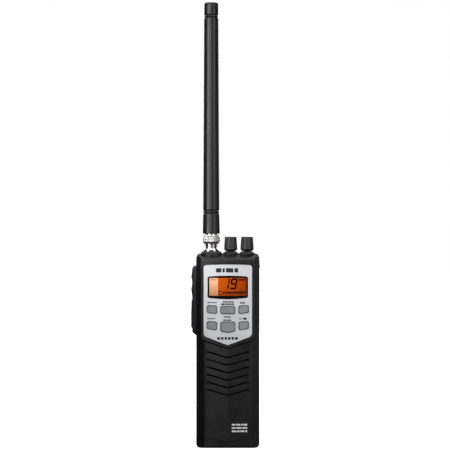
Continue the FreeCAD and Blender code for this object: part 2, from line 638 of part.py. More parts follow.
def control_shaft(x):
    shaft = rod(x, TOP_ROW_Y, 153.5, 2.95, 23.0)
    return shaft.cut(box(x - 4, x + 4, TOP_ROW_Y + 1.9, TOP_ROW_Y + 4, 169.5, 178))


def rotary_controls():
    """Two potentiometers: square body under the top wall, plain bushing through it."""
    parts = []
    for x in (SQUELCH_X, VOLUME_X):
        body = box(x - 5.2, x + 5.2, TOP_ROW_Y - 4.8, TOP_ROW_Y + 4.8, 152.0, 158.6)
        bushing = rod(x, TOP_ROW_Y, 158.4, 3.4, 8.3)
        parts.append(cut(fuse([body, bushing]), [rod(x, TOP_ROW_Y, 153.2, 3.0, 20)]))
    return Part.makeCompound(parts)


def bnc_jack():
    """Bayonet antenna socket: threaded barrel, flange inside the case, two side lugs."""
    barrel = revolved([(2.8, 158.0, 0), (7.2, 158.0, 0.3), (7.2, 159.6, 0.3), (4.75, 159.6, 0),
                       (4.75, 169.7, 0), (4.95, 170.0, 0.2), (4.6, 171.0, 0.8), (BARREL_R, 172.0, 0.5),
                       (BARREL_R, 180.4, 0.3), (4.15, 180.4, 0), (4.15, 172.6, 0), (2.8, 172.6, 0)],
                      ANTENNA_X, TOP_ROW_Y)
    lugs = rod(ANTENNA_X, TOP_ROW_Y, LUG_Z, 0.95, 2 * LUG_TIP_R, X).translated(V(-LUG_TIP_R, 0, 0))
    lugs = lugs.cut(rod(ANTENNA_X, TOP_ROW_Y, LUG_Z - 3, 4.4, 6))
    return fuse([barrel, lugs])


def bnc_nut():
    """Panel nut that clamps the antenna socket, its underside on the case boss."""
    axis = V(ANTENNA_X, TOP_ROW_Y, 0)
    blank = revolved([(4.8, 166.92, 0), (6.6, 166.92, 0), (6.6, 167.5, 0.2), (5.2, 169.6, 0.2),
                      (4.8, 169.6, 0)], axis.x, axis.y)
    flat = box(-20, 20, 6.1, 20, 160, 168.2)
    return cut(blank, [flat.rotated(V(0, 0, 0), Z, a).translated(axis) for a in range(0, 360, 60)])


def bnc_insulator():
    ring = revolved([(1.15, 156.8, 0), (2.75, 156.8, 0), (2.75, 178.4, 0.2), (1.15, 178.4, 0)],
                    ANTENNA_X, TOP_ROW_Y)
    return fuse([ring, rod(ANTENNA_X, TOP_ROW_Y, 157.2, 1.15, 12.0)])


def coupling_nut():
    """Bayonet ring of the antenna: scalloped grip, shoulder and two helical lug slots."""
    x, y = ANTENNA_X, TOP_ROW_Y
    blank = revolved([(4.95, 173.3, 0), (5.95, 173.3, 0.2), (7.4, RING_Z, 0.5), (7.4, 177.0, 0.2),
                      (7.1, 177.3, 0.1), (7.4, 177.6, 0.2), (7.4, 179.4, 0.5), (6.45, 179.8, 0.2),
                      (6.35, 181.3, 0.3), (4.95, 181.3, 0)], x, y)
    steps = 16
    tools = []
    for i in range(steps + 3):
        share = i / steps
        for half_turn in (0, 180):
            notch = box(4.5, 5.62, -1.25, 1.25, -1.35, 1.35)
            notch.rotate(V(0, 0, 0), Z, half_turn - share * BAYONET_DEG)
            tools.append(notch.translated(V(x, y, LUG_Z - share * BAYONET_LIFT)))
    scallops = 12
    for i in range(scallops):
        angle = (i + 0.5) * 2 * math.pi / scallops
        tools.append(rod(x + 8.1 * math.cos(angle), y + 8.1 * math.sin(angle), 175.7, 1.0, 3.3))
    for i in range(6):
        angle = i * math.pi / 3 + math.pi / 2
        tools.append(rod(x + 6.6 * math.cos(angle), y + 6.6 * math.sin(angle), 179.9, 0.55, 2))
    return cut(blank, tools)


def plug_shell():
    """Antenna plug: inner contact sleeve, collar the ring turns on, shank, centre pin."""
    x, y = ANTENNA_X, TOP_ROW_Y
    shell = revolved([(3.0, 174.4, 0), (4.0, 174.4, 0.2), (4.0, 180.6, 0), (4.85, 180.6, 0),
                      (4.85, 182.0, 0), (4.2, 182.0, 0), (4.2, 196.0, 0.4), (0, 196.0, 0),
                      (0, 181.0, 0), (3.0, 181.0, 0)], x, y)
    pin = fuse([rod(x, y, 171.4, 0.68, 10), cone(x, y, 170.8, 0.25, 0.68, 0.6)])
    return fuse([shell, pin])


def antenna_sleeve():
    """Flexible rubber cover, tapering upward, with twin grooves above its foot."""
    x, y = ANTENNA_X, TOP_ROW_Y
    foot_r, neck_r, tip_r = 7.3, 7.0, 6.28
    profile = [(4.2, SLEEVE_Z0, 0), (foot_r - 0.15, SLEEVE_Z0, 0.15), (foot_r, SLEEVE_Z0 + 0.5, 0.3)]
    for z in (198.9, 201.2):
        profile += [(neck_r, z, 0.3), (neck_r - 0.65, z + 0.75, 0.2), (neck_r, z + 1.6, 0.3)]
    profile += [(tip_r, SLEEVE_Z1, 0), (2.6, SLEEVE_Z1, 0), (2.6, 196.0, 0), (4.2, 196.0, 0)]
    return revolved(profile, x, y)


def antenna_cap():
    """End cap with a waist groove where it grips the sleeve."""
    foot, top = SLEEVE_Z1, ANTENNA_TOP
    return revolved([(0, foot, 0), (5.8, foot, 0), (5.55, foot + 0.7, 0.2), (6.1, foot + 1.7, 0.3),
                     (5.55, foot + 2.7, 0.2), (6.16, foot + 3.6, 0.3), (6.16, top, 1.6), (0, top, 0)],
                    ANTENNA_X, TOP_ROW_Y)


def antenna_core():
    """Glass-fibre rod wound with the radiating wire, drawn as one round core."""
    return rod(ANTENNA_X, TOP_ROW_Y, 196.0, 2.6, SLEEVE_Z1 - 196.0)


# ---- battery ------------------------------------------------------------------------
def battery_cells():
    """Nine AA cells in three columns; the middle column is turned over."""
    cells = []
    for column, x in enumerate(CELL_XS):
        for row in range(3):
            z = 7.35 + row * (CELL_L + CELL_GAP)
            profile = [(0, 0, 0), (6.4, 0, 0), (CELL_R, 0.5, 0.4), (CELL_R, 48.9, 0.4), (5.6, 49.3, 0),
                       (2.75, 49.3, 0), (2.75, CELL_L, 0.3), (0, CELL_L, 0)]
            if column == 1:
                z = BAY_Z0 + BAY_Z1 - z
                profile = [(r, -h, c) for r, h, c in profile]
            cells.append(revolved([(r, z + h, c) for r, h, c in profile], x, CELL_Y))
    return Part.makeCompound(cells)


def battery_springs():
    springs = []
    for column, x in enumerate(CELL_XS):
        base = BAY_Z0 + 0.7 if column != 1 else BAY_Z1 - 0.7 - 3.9
        springs.append(coil(x, CELL_Y, base, 3.6, 0.35, 3.9, 3))
    return Part.makeCompound(springs)


def battery_plates():
    """Nickel contact plates at both ends of each column."""
    plates = []
    for x in CELL_XS:
        for z in (BAY_Z0, BAY_Z1 - 0.3):
            plates.append(box(x - 5.5, x + 5.5, CELL_Y - 5.5, CELL_Y + 5.5, z, z + 0.3))
    return Part.makeCompound(plates)


# ---- belt clip ----------------------------------------------------------------------
def clip_bracket():
    plate = softened(box(-13, 13, REAR_Y, REAR_Y + 1.2, 154.2, 162.4), 0.4, at_y(REAR_Y + 1.2))
    ears = [slab([(REAR_Y + 0.5, 155.6, 0), (CLIP_PIN_Y + 1.9, 156.9, 1.6), (CLIP_PIN_Y + 1.9, 160.7, 1.6),
                  (REAR_Y + 0.5, 162.0, 0)], "YZ", x, x + 1.5) for x in (-12.8, 11.3)]
    holes = [rod(x, REAR_Y - 1, CLIP_SCREW_Z, 0.9, 4, Y) for x in CLIP_SCREW_XS]
    holes.append(rod(-15, CLIP_PIN_Y, CLIP_PIN_Z, 1.0, 30, X))
    return cut(fuse([plate] + ears), holes)


def clip_pin():
    return rod(-12.8, CLIP_PIN_Y, CLIP_PIN_Z, 1.0, 25.6, X)


def belt_clip():
    """Sprung clip: thumb tab above the pin, long arm below that closes on the case."""
    t = 1.3
    inner = [(24.0, 164.2), (24.0, 160.6), (26.2, 150.0), (26.2, 104.0), (21.15, 93.4), (24.4, 85.6)]
    outer = [(25.6, 85.2), (22.75, 93.3), (26.2 + t, 103.2), (26.2 + t, 150.6), (25.4, 160.8),
             (25.4, 164.2)]
    rounding = {(26.2, 150.0): 6, (26.2, 104.0): 5, (21.15, 93.4): 1.5, (22.75, 93.3): 2.6,
                (26.2 + t, 103.2): 6, (26.2 + t, 150.6): 7, (24.0, 160.6): 3, (25.4, 160.8): 3}
    arm = slab([(u, v, rounding.get((u, v), 0.3)) for u, v in inner + outer], "YZ", -11, 11)
    face = slab([(-10.9, 84, 6), (10.9, 84, 6), (10.9, 164.4, 3), (-10.9, 164.4, 3)], "XZ", 15, 35)
    arm = arm.common(face).cut(box(-3.6, 3.6, 20, 35, 156.4, 161.2))
    knuckles = [rod(x, CLIP_PIN_Y, CLIP_PIN_Z, 1.9, 6.5, X) for x in (-10.4, 3.9)]
    clip = fuse([arm] + knuckles)
    window = slab([(-5, 108, 3), (5, 108, 3), (5, 142, 3), (-5, 142, 3)], "XZ", 20, 30)
    return cut(clip, [rod(-15, CLIP_PIN_Y, CLIP_PIN_Z, 1.05, 30, X), window])


def clip_spring():
    return coil(-3.0, CLIP_PIN_Y, CLIP_PIN_Z, 1.7, 0.3, 6.0, 6, X)


# ---- fasteners ----------------------------------------------------------------------
def case_screws():
    screws = [pan_screw(x, BAY_Y0, z, Y, 2.1, 1.3, 0.98, 13) for x, z in SCREW_SPOTS]
    return Part.makeCompound(screws)


def clip_screws():
    y = REAR_Y + 1.2
    screws = [pan_screw(x, y, CLIP_SCREW_Z, Y, 1.5, 0.8, 0.88, 5) for x in CLIP_SCREW_XS]
    return Part.makeCompound(screws)


NODES = {
    "front_case": front_case,
    "rear_case": rear_case,
    "battery_cover": battery_cover,
    "battery_latch": battery_latch,
    "latch_spring": latch_spring,
    "face_plate": face_plate,
    "display_lens": display_lens,
    "lcd_glass": lcd_glass,
    "lcd_backlight": lcd_backlight,
    "lcd_frame": lcd_frame,
    "keypad_mat": keypad_mat,
    "control_board": control_board,
    "main_board": main_board,
    "board_parts": board_parts,
    "rf_shield": rf_shield,
    "speaker_frame": speaker_frame,
    "speaker_cone": speaker_cone,
    "speaker_magnet": speaker_magnet,
    "grille_cloth": lambda: rod(0, -15.95, 62.5, 18.6, 0.4, Y),
    "microphone": microphone,
    "audio_jacks": audio_jacks,
    "power_jacks": power_jacks,
    "side_frame": side_frame,
    "side_board": side_board,
    "side_switches": side_switches,
    "channel_up_button": lambda: channel_button("up", 144.2, 147.0),
    "channel_down_button": lambda: channel_button("down", 135.4, 132.6),
    "ptt_lever": ptt_lever,
    "ptt_spring": ptt_spring,
    "jack_cover": jack_cover,
    "rotary_controls": rotary_controls,
    "squelch_knob": lambda: knob(SQUELCH_X),
    "squelch_shaft": lambda: control_shaft(SQUELCH_X),
    "volume_knob": lambda: knob(VOLUME_X),
    "volume_shaft": lambda: control_shaft(VOLUME_X),
    "bnc_jack": bnc_jack,
    "bnc_nut": bnc_nut,
    "bnc_insulator": bnc_insulator,
    "coupling_nut": coupling_nut,
    "plug_shell": plug_shell,
    "antenna_sleeve": antenna_sleeve,
    "antenna_cap": antenna_cap,
    "antenna_core": antenna_core,
    "wiring": wiring,
    "battery_cells": battery_cells,
    "battery_springs": battery_springs,
    "battery_plates": battery_plates,
    "clip_bracket": clip_bracket,
    "clip_pin": clip_pin,
    "belt_clip": belt_clip,
    "clip_spring": clip_spring,
    "case_screws": case_screws,
    "clip_screws": clip_screws,
}
for key, points in key_outlines().items():
    NODES[key] = lambda points=points: key_cap(points)


def main():
    os.makedirs("parts", exist_ok=True)
    for name, build in NODES.items():
        shape = build()
        verdict = "ok" if all(s.isValid() and s.Volume > 0 for s in shape.Solids) else "BAD"
        print(f"{name:22s} solids {len(shape.Solids)}  volume {shape.Volume:10.1f}  {verdict}")
        shape.translate(V(0, 0, FOOT))
        shape.exportStep(f"parts/{name}.step")


main()
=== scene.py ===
import json
import math

import bmesh
import bpy
from mathutils import Matrix, Vector


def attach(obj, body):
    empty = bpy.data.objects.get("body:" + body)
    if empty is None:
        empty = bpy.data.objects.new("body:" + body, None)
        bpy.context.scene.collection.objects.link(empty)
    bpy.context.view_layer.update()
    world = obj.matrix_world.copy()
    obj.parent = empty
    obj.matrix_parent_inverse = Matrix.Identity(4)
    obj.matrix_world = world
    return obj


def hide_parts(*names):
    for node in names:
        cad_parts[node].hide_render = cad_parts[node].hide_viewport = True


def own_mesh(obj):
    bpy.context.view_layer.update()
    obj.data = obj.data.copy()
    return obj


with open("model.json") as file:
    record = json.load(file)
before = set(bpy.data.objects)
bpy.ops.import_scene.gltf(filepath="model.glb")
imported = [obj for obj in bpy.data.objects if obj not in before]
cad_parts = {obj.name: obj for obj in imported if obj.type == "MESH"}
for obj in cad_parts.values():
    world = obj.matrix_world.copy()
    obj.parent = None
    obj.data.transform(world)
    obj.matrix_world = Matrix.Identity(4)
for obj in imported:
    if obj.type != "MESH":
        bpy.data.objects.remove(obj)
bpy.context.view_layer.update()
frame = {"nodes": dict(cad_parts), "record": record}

NODES = frame["nodes"]
MM = 0.001
LIFT = 1.3                   # heights of the added pieces are taken from this far above the underside
AXIS_X, AXIS_Y = -14.25, -7.5  # the antenna's axis


# ---- shading helpers ----------------------------------------------------------------
class Shader:
    """A node material under construction: one Principled BSDF and what feeds it."""

    def __init__(self, name, color, roughness, metallic=0.0, specular=0.5):
        self.material = bpy.data.materials.new(name)
        self.material.use_nodes = True
        self.tree = self.material.node_tree
        self.bsdf = self.tree.nodes["Principled BSDF"]
        self.bsdf.inputs["Base Color"].default_value = (*color, 1)
        self.bsdf.inputs["Roughness"].default_value = roughness
        self.bsdf.inputs["Metallic"].default_value = metallic
        self.bsdf.inputs["Specular IOR Level"].default_value = specular
        self.coords = self.tree.nodes.new("ShaderNodeTexCoord").outputs["Object"]
        self.normal = None

    def node(self, kind, **settings):
        made = self.tree.nodes.new(kind)
        for key, value in settings.items():
            setattr(made, key, value)
        return made

    def link(self, source, target):
        self.tree.links.new(source, target)

    def noise(self, size_mm, detail=3.0, stretch=(1, 1, 1)):
        """Noise whose features are about size_mm across."""
        noise = self.node("ShaderNodeTexNoise")
        noise.inputs["Scale"].default_value = 1.0 / (size_mm * MM)
        noise.inputs["Detail"].default_value = detail
        self.link(self.stretched(stretch), noise.inputs["Vector"])
        return noise.outputs["Fac"]

    def stretched(self, factors):
        if factors == (1, 1, 1):
            return self.coords
        mapping = self.node("ShaderNodeMapping")
        mapping.inputs["Scale"].default_value = factors
        self.link(self.coords, mapping.inputs["Vector"])
        return mapping.outputs["Vector"]

    def axis(self, name):
        split = self.node("ShaderNodeSeparateXYZ")
        self.link(self.coords, split.inputs["Vector"])
        return split.outputs[name]

    def math(self, operation, *values, clamp=False):
        made = self.node("ShaderNodeMath", operation=operation, use_clamp=clamp)
        for socket, value in zip(made.inputs, values):
            if isinstance(value, (int, float)):
                socket.default_value = value
            else:
                self.link(value, socket)
        return made.outputs["Value"]

    def remap(self, value, low, high, to_low=0.0, to_high=1.0):
        made = self.node("ShaderNodeMapRange")
        self.link(value, made.inputs["Value"])
        for key, number in (("From Min", low), ("From Max", high), ("To Min", to_low), ("To Max", to_high)):
            made.inputs[key].default_value = number
        return made.outputs["Result"]

    def mix(self, factor, first, second):
        """A colour mix; each colour is a tuple or a socket."""
        made = self.node("ShaderNodeMix", data_type="RGBA")
        self.link(factor, made.inputs["Factor"])
        for socket, value in ((made.inputs[6], first), (made.inputs[7], second)):
            if isinstance(value, tuple):
                socket.default_value = (*value, 1)
            else:
                self.link(value, socket)
        return made.outputs[2]

    def color(self, socket):
        self.link(socket, self.bsdf.inputs["Base Color"])

    def roughness(self, socket):
        self.link(socket, self.bsdf.inputs["Roughness"])

    def bump(self, height, distance_mm, strength=1.0):
        bump = self.node("ShaderNodeBump")
        bump.inputs["Strength"].default_value = strength
        bump.inputs["Distance"].default_value = distance_mm * MM
        self.link(height, bump.inputs["Height"])
        if self.normal is not None:
            self.link(self.normal, bump.inputs["Normal"])
        self.normal = bump.outputs["Normal"]
        self.link(self.normal, self.bsdf.inputs["Normal"])

    def rounded(self, radius_mm):
        """Shades sharp edges as if they had a small radius."""
        bevel = self.node("ShaderNodeBevel", samples=4)
        bevel.inputs["Radius"].default_value = radius_mm * MM
        self.normal = bevel.outputs["Normal"]
        self.link(self.normal, self.bsdf.inputs["Normal"])

    def crowned(self, radius_mm):
        """Shades the front as if it bulged gently across its width."""
        across = self.axis("X")
        height = self.math("MULTIPLY", self.math("MULTIPLY", across, across), -0.5 / (radius_mm * MM))
        self.bump(height, 1000.0)


def plastic(name, color, roughness, grain_mm=0.35, grain_depth=0.02, edge=0.15, smudge=0.06, specular=0.5):
    """Moulded plastic or rubber: fine grain, slightly uneven gloss and softened edges."""
    shader = Shader(name, color, roughness, specular=specular)
    if edge:
        shader.rounded(edge)
    cloudy = shader.noise(9.0, 2.0)
    lighter = tuple(min(1.0, c * 1.18 + 0.002) for c in color)
    darker = tuple(c * 0.86 for c in color)
    shader.color(shader.mix(cloudy, darker, lighter))
    shader.roughness(shader.remap(cloudy, 0.3, 0.7, roughness - smudge, roughness + smudge))
    shader.bump(shader.noise(grain_mm, 2.0), grain_depth)
    return shader


def metal(name, color, roughness, brush=(1, 1, 1), grain_mm=0.25, depth=0.004, edge=0.08):
    shader = Shader(name, color, roughness, metallic=1.0)
    if edge:
        shader.rounded(edge)
    streak = shader.noise(grain_mm, 3.0, brush)
    shader.color(shader.mix(streak, tuple(c * 0.82 for c in color), color))
    shader.roughness(shader.remap(streak, 0.3, 0.7, max(0.03, roughness - 0.06), roughness + 0.08))
    shader.bump(streak, depth)
    return shader


def key_material():
    """Grey rubber, with painted shade along the rim of each key where its edge rounds over into the gap."""
    shader = plastic("key_grey", (0.34, 0.345, 0.37), 0.45, grain_mm=0.3, grain_depth=0.010, edge=0.25)
    wide = shader.node("ShaderNodeBevel", samples=6)
    wide.inputs["Radius"].default_value = 1.25 * MM
    turn = shader.node("ShaderNodeVectorMath", operation="DOT_PRODUCT")
    shader.link(wide.outputs["Normal"], turn.inputs[0])
    shader.link(shader.node("ShaderNodeNewGeometry").outputs["Normal"], turn.inputs[1])
    # painted shade: this mask darkens the key top where its edge rounds over, standing in for the shade at
    # the key gaps
    inner = shader.remap(turn.outputs["Value"], 0.955, 0.99)
    below = shader.bsdf.inputs["Base Color"].links[0].from_socket
    shader.color(shader.mix(inner, (0.045, 0.045, 0.05), below))
    return shader


def knurled_ring():
    """Satin nickel with fine upright grooves round the antenna's axis, painted darker in the grooves as
    painted shade.
    """
    shader = Shader("ring_nickel", (0.74, 0.73, 0.72), 0.30, metallic=1.0)
    shader.rounded(0.12)
    across = shader.math("SUBTRACT", shader.axis("X"), AXIS_X * MM)
    along = shader.math("SUBTRACT", shader.axis("Y"), AXIS_Y * MM)
    turn = shader.math("ARCTAN2", along, across)
    groove_and_painted_shade = shader.math("SINE", shader.math("MULTIPLY", turn, 46.0))
    # painted shade: the colour darkens in each groove; the same wave also bumps the grooves
    shader.color(shader.mix(shader.remap(groove_and_painted_shade, -1, 1), (0.50, 0.49, 0.48), (0.90, 0.89, 0.88)))
    shader.roughness(shader.remap(shader.noise(1.2, 2.0), 0.3, 0.7, 0.26, 0.36))
    shader.bump(groove_and_painted_shade, 0.08)
    return shader


def case_material(name, color, roughness):
    """Case plastic with a dark joint line where the two halves meet."""
    shader = plastic(name, color, roughness, grain_mm=0.42, grain_depth=0.012, edge=0.22)
    shader.crowned(210)
    from_joint = shader.math("ABSOLUTE", shader.math("SUBTRACT", shader.axis("Y"), 2.2 * MM))
    line = shader.remap(from_joint, 0.10 * MM, 0.26 * MM)
    below = shader.bsdf.inputs["Base Color"].links[0].from_socket
    shader.color(shader.mix(line, (0.001, 0.001, 0.001), below))
    shader.bump(line, 0.25)
    return shader


def black_out_window(shader):
    """Blacks out the face behind the window, round the display opening."""
    half_width, half_height, front = 17.3 * MM, 10.2 * MM, -19.6 * MM
    middle = (136.4 + LIFT) * MM
    across = shader.math("LESS_THAN", shader.math("ABSOLUTE", shader.axis("X")), half_width)
    from_middle = shader.math("ABSOLUTE", shader.math("SUBTRACT", shader.axis("Z"), middle))
    up = shader.math("LESS_THAN", from_middle, half_height)
    behind = shader.math("GREATER_THAN", shader.axis("Y"), front)
    inside = shader.math("MULTIPLY", shader.math("MULTIPLY", across, up), behind)
    shader.color(shader.mix(inside, shader.bsdf.inputs["Base Color"].links[0].from_socket, (0.0, 0.0, 0.0)))
    satin = shader.bsdf.inputs["Roughness"].links[0].from_socket
    shader.roughness(shader.math("MAXIMUM", satin, inside))
    return shader


def lcd_material():
    """Back-lit amber glass, deeper towards the right and the foot, with a painted reflection of a light
    panel as a pale peach band down the left side.
    """
    shader = Shader("lcd_orange", (0.02, 0.003, 0.0), 0.5, specular=0.03)
    across, up = shader.axis("X"), shader.axis("Z")
    middle_glow, right_glow = (0.62, 0.100, 0.0015), (0.34, 0.036, 0.0007)
    sideways = shader.mix(shader.remap(across, -8 * MM, 16 * MM), middle_glow, right_glow)
    fall = shader.remap(up, (128.9 + LIFT) * MM, (140 + LIFT) * MM, 0.62, 1.0)
    cloudy = shader.math("MULTIPLY", fall, shader.remap(shader.noise(5.0, 1.0), 0.2, 0.8, 0.93, 1.07))
    glow = shader.node("ShaderNodeMix", data_type="RGBA", blend_type="MULTIPLY")
    glow.inputs["Factor"].default_value = 1.0
    shader.link(sideways, glow.inputs[6])
    shader.link(cloudy, glow.inputs[7])
    # painted reflection: the pale peach colours below, used at the left of the glass, stand in for a light
    # panel reflected in the lens
    low_reflection_tint, high_reflection_tint = (0.52, 0.22, 0.11), (0.92, 0.51, 0.33)
    pale = shader.mix(shader.remap(up, (130 + LIFT) * MM, (141 + LIFT) * MM), low_reflection_tint, high_reflection_tint)
    reflection_mask = shader.math("LESS_THAN", across, -8.4 * MM)
    tint = shader.mix(reflection_mask, glow.outputs[2], pale)
    shader.link(tint, shader.bsdf.inputs["Emission Color"])
    shader.bsdf.inputs["Emission Strength"].default_value = 1.2
    # the base colour is also lighter at the left, as part of the same painted reflection
    shader.color(shader.mix(reflection_mask, (0.02, 0.003, 0.0), (0.05, 0.025, 0.015)))
    return shader


def glass_material():
    shader = Shader("clear_lens", (0.96, 0.95, 0.93), 0.03)
    shader.bsdf.inputs["Transmission Weight"].default_value = 1.0
    shader.bsdf.inputs["IOR"].default_value = 1.46
    shader.roughness(shader.remap(shader.noise(5.0, 3.0), 0.35, 0.75, 0.02, 0.09))
    return shader


def plate_material():
    """Silver paint: fine metallic flake under a satin top coat."""
    shader = Shader("silver_plate", (0.60, 0.60, 0.65), 0.4, metallic=0.25)
    shader.rounded(0.2)
    shader.crowned(130)
    flake = shader.noise(0.16, 1.0)
    shader.color(shader.mix(flake, (0.84, 0.84, 0.89), (0.94, 0.94, 0.99)))
    shader.roughness(shader.remap(shader.noise(3.0, 2.0), 0.3, 0.7, 0.38, 0.46))
    shader.bump(flake, 0.006)
    return shader


def cloth_material():
    shader = Shader("cloth_black", (0.012, 0.012, 0.013), 0.9)
    warp = shader.math("SINE", shader.math("MULTIPLY", shader.axis("X"), 2 * math.pi / (0.5 * MM)))
    weft = shader.math("SINE", shader.math("MULTIPLY", shader.axis("Z"), 2 * math.pi / (0.5 * MM)))
    weave = shader.math("MULTIPLY", warp, weft)
    shader.color(shader.mix(shader.remap(weave, -1, 1), (0.004, 0.004, 0.004), (0.03, 0.03, 0.032)))
    shader.bump(weave, 0.08)
    return shader


def board_material():
    """Green solder mask with paler copper tracks under it."""
    shader = Shader("board_green", (0.01, 0.10, 0.03), 0.28)
    across = shader.math("PINGPONG", shader.axis("X"), 0.8 * MM)
    along = shader.math("PINGPONG", shader.axis("Z"), 1.3 * MM)
    track = shader.math("LESS_THAN", across, 0.16 * MM)
    turn = shader.math("LESS_THAN", along, 0.14 * MM)
    pick = shader.math("GREATER_THAN", shader.noise(7.0, 0.0), 0.52)
    tracks, turns = shader.math("MULTIPLY", track, pick), shader.math("MULTIPLY", turn, pick)
    lines = shader.math("MAXIMUM", tracks, turns)
    shader.color(shader.mix(lines, (0.008, 0.085, 0.028), (0.03, 0.20, 0.06)))
    shader.bump(lines, 0.03)
    return shader


def cell_material():
    """Cell jackets: two printed bands, with bare metal at the raised end."""
    shader = Shader("cell_jacket", (0.02, 0.12, 0.05), 0.3, metallic=0.0)
    first_end, pitch = (7.35 + LIFT) * MM, 50.6 * MM
    height = shader.math("SUBTRACT", shader.axis("Z"), first_end)
    phase = shader.math("FRACT", shader.math("DIVIDE", height, pitch))
    middle = shader.math("LESS_THAN", shader.math("ABSOLUTE", shader.axis("X")), 7.25 * MM)
    flipped = shader.math("SUBTRACT", 1.0, phase)
    share = shader.node("ShaderNodeMix", data_type="FLOAT")
    shader.link(middle, share.inputs["Factor"])
    shader.link(phase, share.inputs[2])
    shader.link(flipped, share.inputs[3])
    share = share.outputs[0]
    band = shader.math("GREATER_THAN", share, 0.70)
    tip = shader.math("GREATER_THAN", share, 0.965)
    jacket = shader.mix(band, (0.012, 0.014, 0.016), (0.50, 0.22, 0.06))
    shader.color(shader.mix(tip, jacket, (0.62, 0.60, 0.56)))
    shader.link(tip, shader.bsdf.inputs["Metallic"])
    shader.bump(shader.noise(0.8, 1.0), 0.01)
    return shader


BLACK = (0.0055, 0.0055, 0.0062)
MATERIALS = {
    "case_plastic": black_out_window(case_material("case_plastic", BLACK, 0.38)),
    "rear_plastic": case_material("rear_plastic", (0.006, 0.006, 0.0065), 0.46),
    "cover_plastic": plastic("cover_plastic", (0.0065, 0.0065, 0.007), 0.5, grain_mm=0.5, grain_depth=0.03),
    "latch_plastic": plastic("latch_plastic", (0.008, 0.008, 0.0085), 0.42),
    "silver_plate": plate_material(),
    "clear_lens": glass_material(),
    "lcd_orange": lcd_material(),
    "light_guide": plastic("light_guide", (0.80, 0.62, 0.42), 0.3, grain_depth=0.005),
    "frame_black": plastic("frame_black", (0.004, 0.004, 0.004), 0.5),
    "mat_rubber": plastic("mat_rubber", (0.18, 0.18, 0.19), 0.6),
    "key_grey": key_material(),
    "board_green": board_material(),
    "chip_black": plastic("chip_black", (0.010, 0.010, 0.011), 0.5),
    "tin_plate": metal("tin_plate", (0.62, 0.62, 0.60), 0.3),
    "speaker_steel": metal("speaker_steel", (0.42, 0.42, 0.44), 0.35),
    "cone_paper": plastic("cone_paper", (0.02, 0.019, 0.018), 0.85, grain_mm=0.6, grain_depth=0.06),
    "magnet_grey": plastic("magnet_grey", (0.05, 0.05, 0.055), 0.6),
    "cloth_black": cloth_material(),
    "mic_metal": metal("mic_metal", (0.10, 0.10, 0.105), 0.4),
    "jack_black": plastic("jack_black", (0.006, 0.006, 0.006), 0.3, grain_depth=0.006),
    "side_plastic": plastic("side_plastic", (0.006, 0.006, 0.0065), 0.44, grain_depth=0.010, edge=0.25),
    "switch_metal": metal("switch_metal", (0.6, 0.6, 0.6), 0.3),
    "button_rubber": plastic("button_rubber", (0.008, 0.008, 0.0085), 0.55, edge=0.2),
    "ptt_plastic": plastic("ptt_plastic", (0.035, 0.035, 0.037), 0.42, edge=0.15),
    "spring_steel": metal("spring_steel", (0.62, 0.62, 0.64), 0.22),
    "flap_rubber": plastic("flap_rubber", (0.007, 0.007, 0.007), 0.6, grain_depth=0.02, edge=0.2),
    "control_body": metal("control_body", (0.10, 0.10, 0.10), 0.5),
    "knob_plastic": plastic("knob_plastic", (0.008, 0.008, 0.0092), 0.34, grain_mm=0.3, grain_depth=0.006),
    "shaft_steel": metal("shaft_steel", (0.10, 0.10, 0.10), 0.45),
    "nickel": metal("nickel", (0.86, 0.84, 0.83), 0.10, grain_mm=0.4, depth=0.002, edge=0.12),
    "insulator_white": plastic("insulator_white", (0.80, 0.79, 0.74), 0.4),
    "antenna_rubber": plastic("antenna_rubber", (0.0065, 0.0068, 0.0075), 0.33,
                              grain_mm=0.5, grain_depth=0.006),
    "core_glass": plastic("core_glass", (0.42, 0.18, 0.06), 0.35),
    "wire_jacket": plastic("wire_jacket", (0.30, 0.02, 0.02), 0.4),
    "cell_jacket": cell_material(),
    "clip_steel": plastic("clip_steel", (0.008, 0.008, 0.0085), 0.30, grain_mm=0.6, grain_depth=0.004),
    "bracket_plastic": plastic("bracket_plastic", BLACK, 0.45),
    "screw_steel": metal("screw_steel", (0.16, 0.16, 0.17), 0.3),
}


# ---- CAD nodes: materials ------------------------------------------------------------
SLOT_OF = {entry["node"]: entry["material_slot"] for entry in frame["record"]["subparts"]}
OWN = {"coupling_nut": knurled_ring()}
for name, obj in NODES.items():
    obj.data.materials.clear()
    obj.data.materials.append(OWN.get(name, MATERIALS[SLOT_OF[name]]).material)


# ---- mesh helpers -------------------------------------------------------------------
def piece(name, mesh, body, slot_name, material=None, smooth=30.0):
    mesh.transform(Matrix.Translation((0, 0, LIFT * MM)))
    obj = bpy.data.objects.new(name, mesh)
    bpy.context.scene.collection.objects.link(obj)
    mesh.materials.append(material or MATERIALS[slot_name].material)
    if smooth:
        mesh.shade_smooth()
        mesh.set_sharp_from_angle(angle=math.radians(smooth))
    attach(obj, body)
    return obj


def finish_mesh(bm, name):
    bmesh.ops.recalc_face_normals(bm, faces=bm.faces)
    mesh = bpy.data.meshes.new(name)
    bm.to_mesh(mesh)
    bm.free()
    return mesh


def rounded_outline(points, radius, steps=4):
    """A closed outline with each corner replaced by a short arc."""
    result = []
    count = len(points)
    for i, corner in enumerate(points):
        corner = Vector(corner)
        back = (Vector(points[i - 1]) - corner)
        ahead = (Vector(points[(i + 1) % count]) - corner)
        reach = min(radius, back.length * 0.45, ahead.length * 0.45)
        start, end = corner + back.normalized() * reach, corner + ahead.normalized() * reach
        for k in range(steps + 1):
            t = k / steps
            result.append(start * (1 - t) ** 2 + corner * (2 * t * (1 - t)) + end * t ** 2)
    return result


